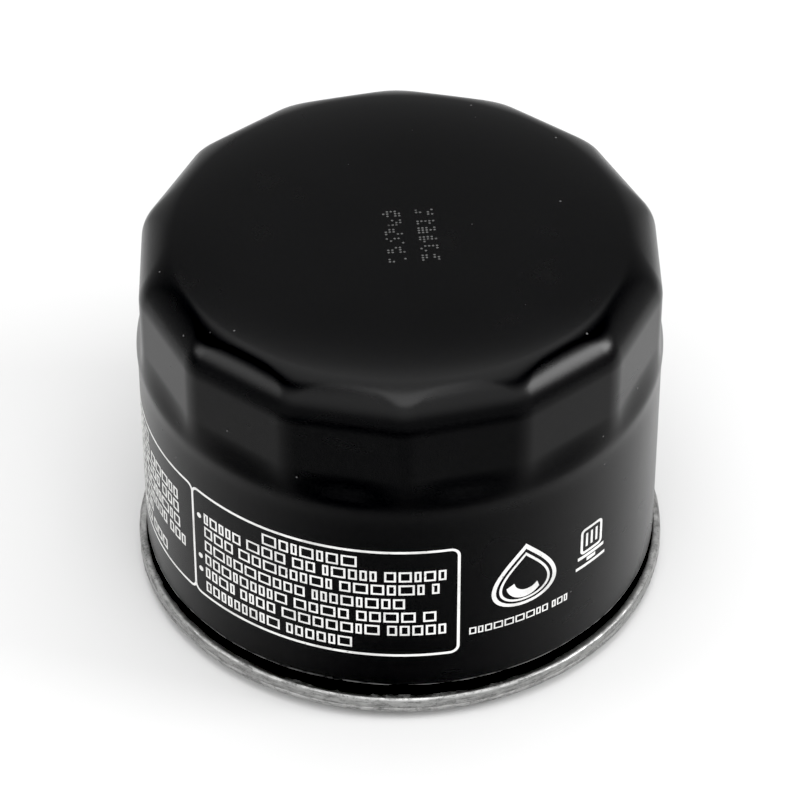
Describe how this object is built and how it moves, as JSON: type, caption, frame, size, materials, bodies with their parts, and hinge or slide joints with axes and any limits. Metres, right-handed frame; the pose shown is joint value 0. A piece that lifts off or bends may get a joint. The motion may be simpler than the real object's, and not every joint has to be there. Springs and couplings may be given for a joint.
{
  "type": "spin-on oil filter",
  "caption": "Small spin-on engine oil filter: black drawn can with pressed wrench flats, rolled seam, gasket, tapped plate, and a pleated element with its valves inside.",
  "frame": {"origin": "centre of the gasket's sealing face, which the filter stands on", "axes": "+Z along the thread axis, from the gasket to the closed end; a corner between two wrench flats faces -Y"},
  "size_m": [0.0702, 0.0702, 0.0529],
  "materials": {
    "can_paint": "semi-gloss black baked enamel on drawn sheet steel",
    "tinplate": "bare tin-plated sheet steel, mottled",
    "compound": "matt sealing compound",
    "plate_steel": "zinc-plated pressed steel",
    "gasket_rubber": "moulded nitrile rubber",
    "valve_rubber": "moulded silicone rubber",
    "end_cap_steel": "tin-plated sheet steel",
    "tube_steel": "galvanised perforated sheet steel",
    "paper": "resin-treated pleated filter paper",
    "clip_steel": "folded sheet steel strip",
    "adhesive": "cured plastisol",
    "seat_plastic": "moulded glass-filled nylon",
    "valve_steel": "zinc-plated pressed steel",
    "spring_steel": "drawn spring wire",
    "ink": "white screen-printed ink"
  },
  "bodies": {
    "housing": {"can": "can_paint", "seaming_lid": "tinplate", "seam_compound": "compound", "tapping_plate": "plate_steel", "gasket": "gasket_rubber", "element_spring": "spring_steel", "ink_print": "ink"},
    "drain_valve": {"anti_drain_valve": "valve_rubber"},
    "element": {"lower_end_cap": "end_cap_steel", "upper_end_cap": "end_cap_steel", "centre_tube": "tube_steel", "pleated_paper": "paper", "pleat_clip": "clip_steel", "lower_adhesive": "adhesive", "upper_adhesive": "adhesive", "bypass_seat": "seat_plastic", "bypass_cage": "valve_steel", "bypass_spring": "spring_steel"},
    "bypass_valve": {"bypass_poppet": "valve_steel", "bypass_seal": "gasket_rubber"}
  },
  "joints": [
    {"name": "drain_valve_lift", "type": "slide", "parent": "housing", "child": "drain_valve", "axis": [0, 0, 1], "range_m": [0, 0.0008], "stiffness_N_per_m": 400, "springref_m": -0.0006},
    {"name": "element_float", "type": "slide", "parent": "housing", "child": "element", "axis": [0, 0, 1], "range_m": [0, 0.0015], "stiffness_N_per_m": 6000, "springref_m": -0.005, "deforming": ["element_spring"]},
    {"name": "bypass_lift", "type": "slide", "parent": "element", "child": "bypass_valve", "axis": [0, 0, -1], "range_m": [0, 0.0025], "stiffness_N_per_m": 2500, "springref_m": -0.006, "deforming": ["bypass_spring"]}
  ]
}
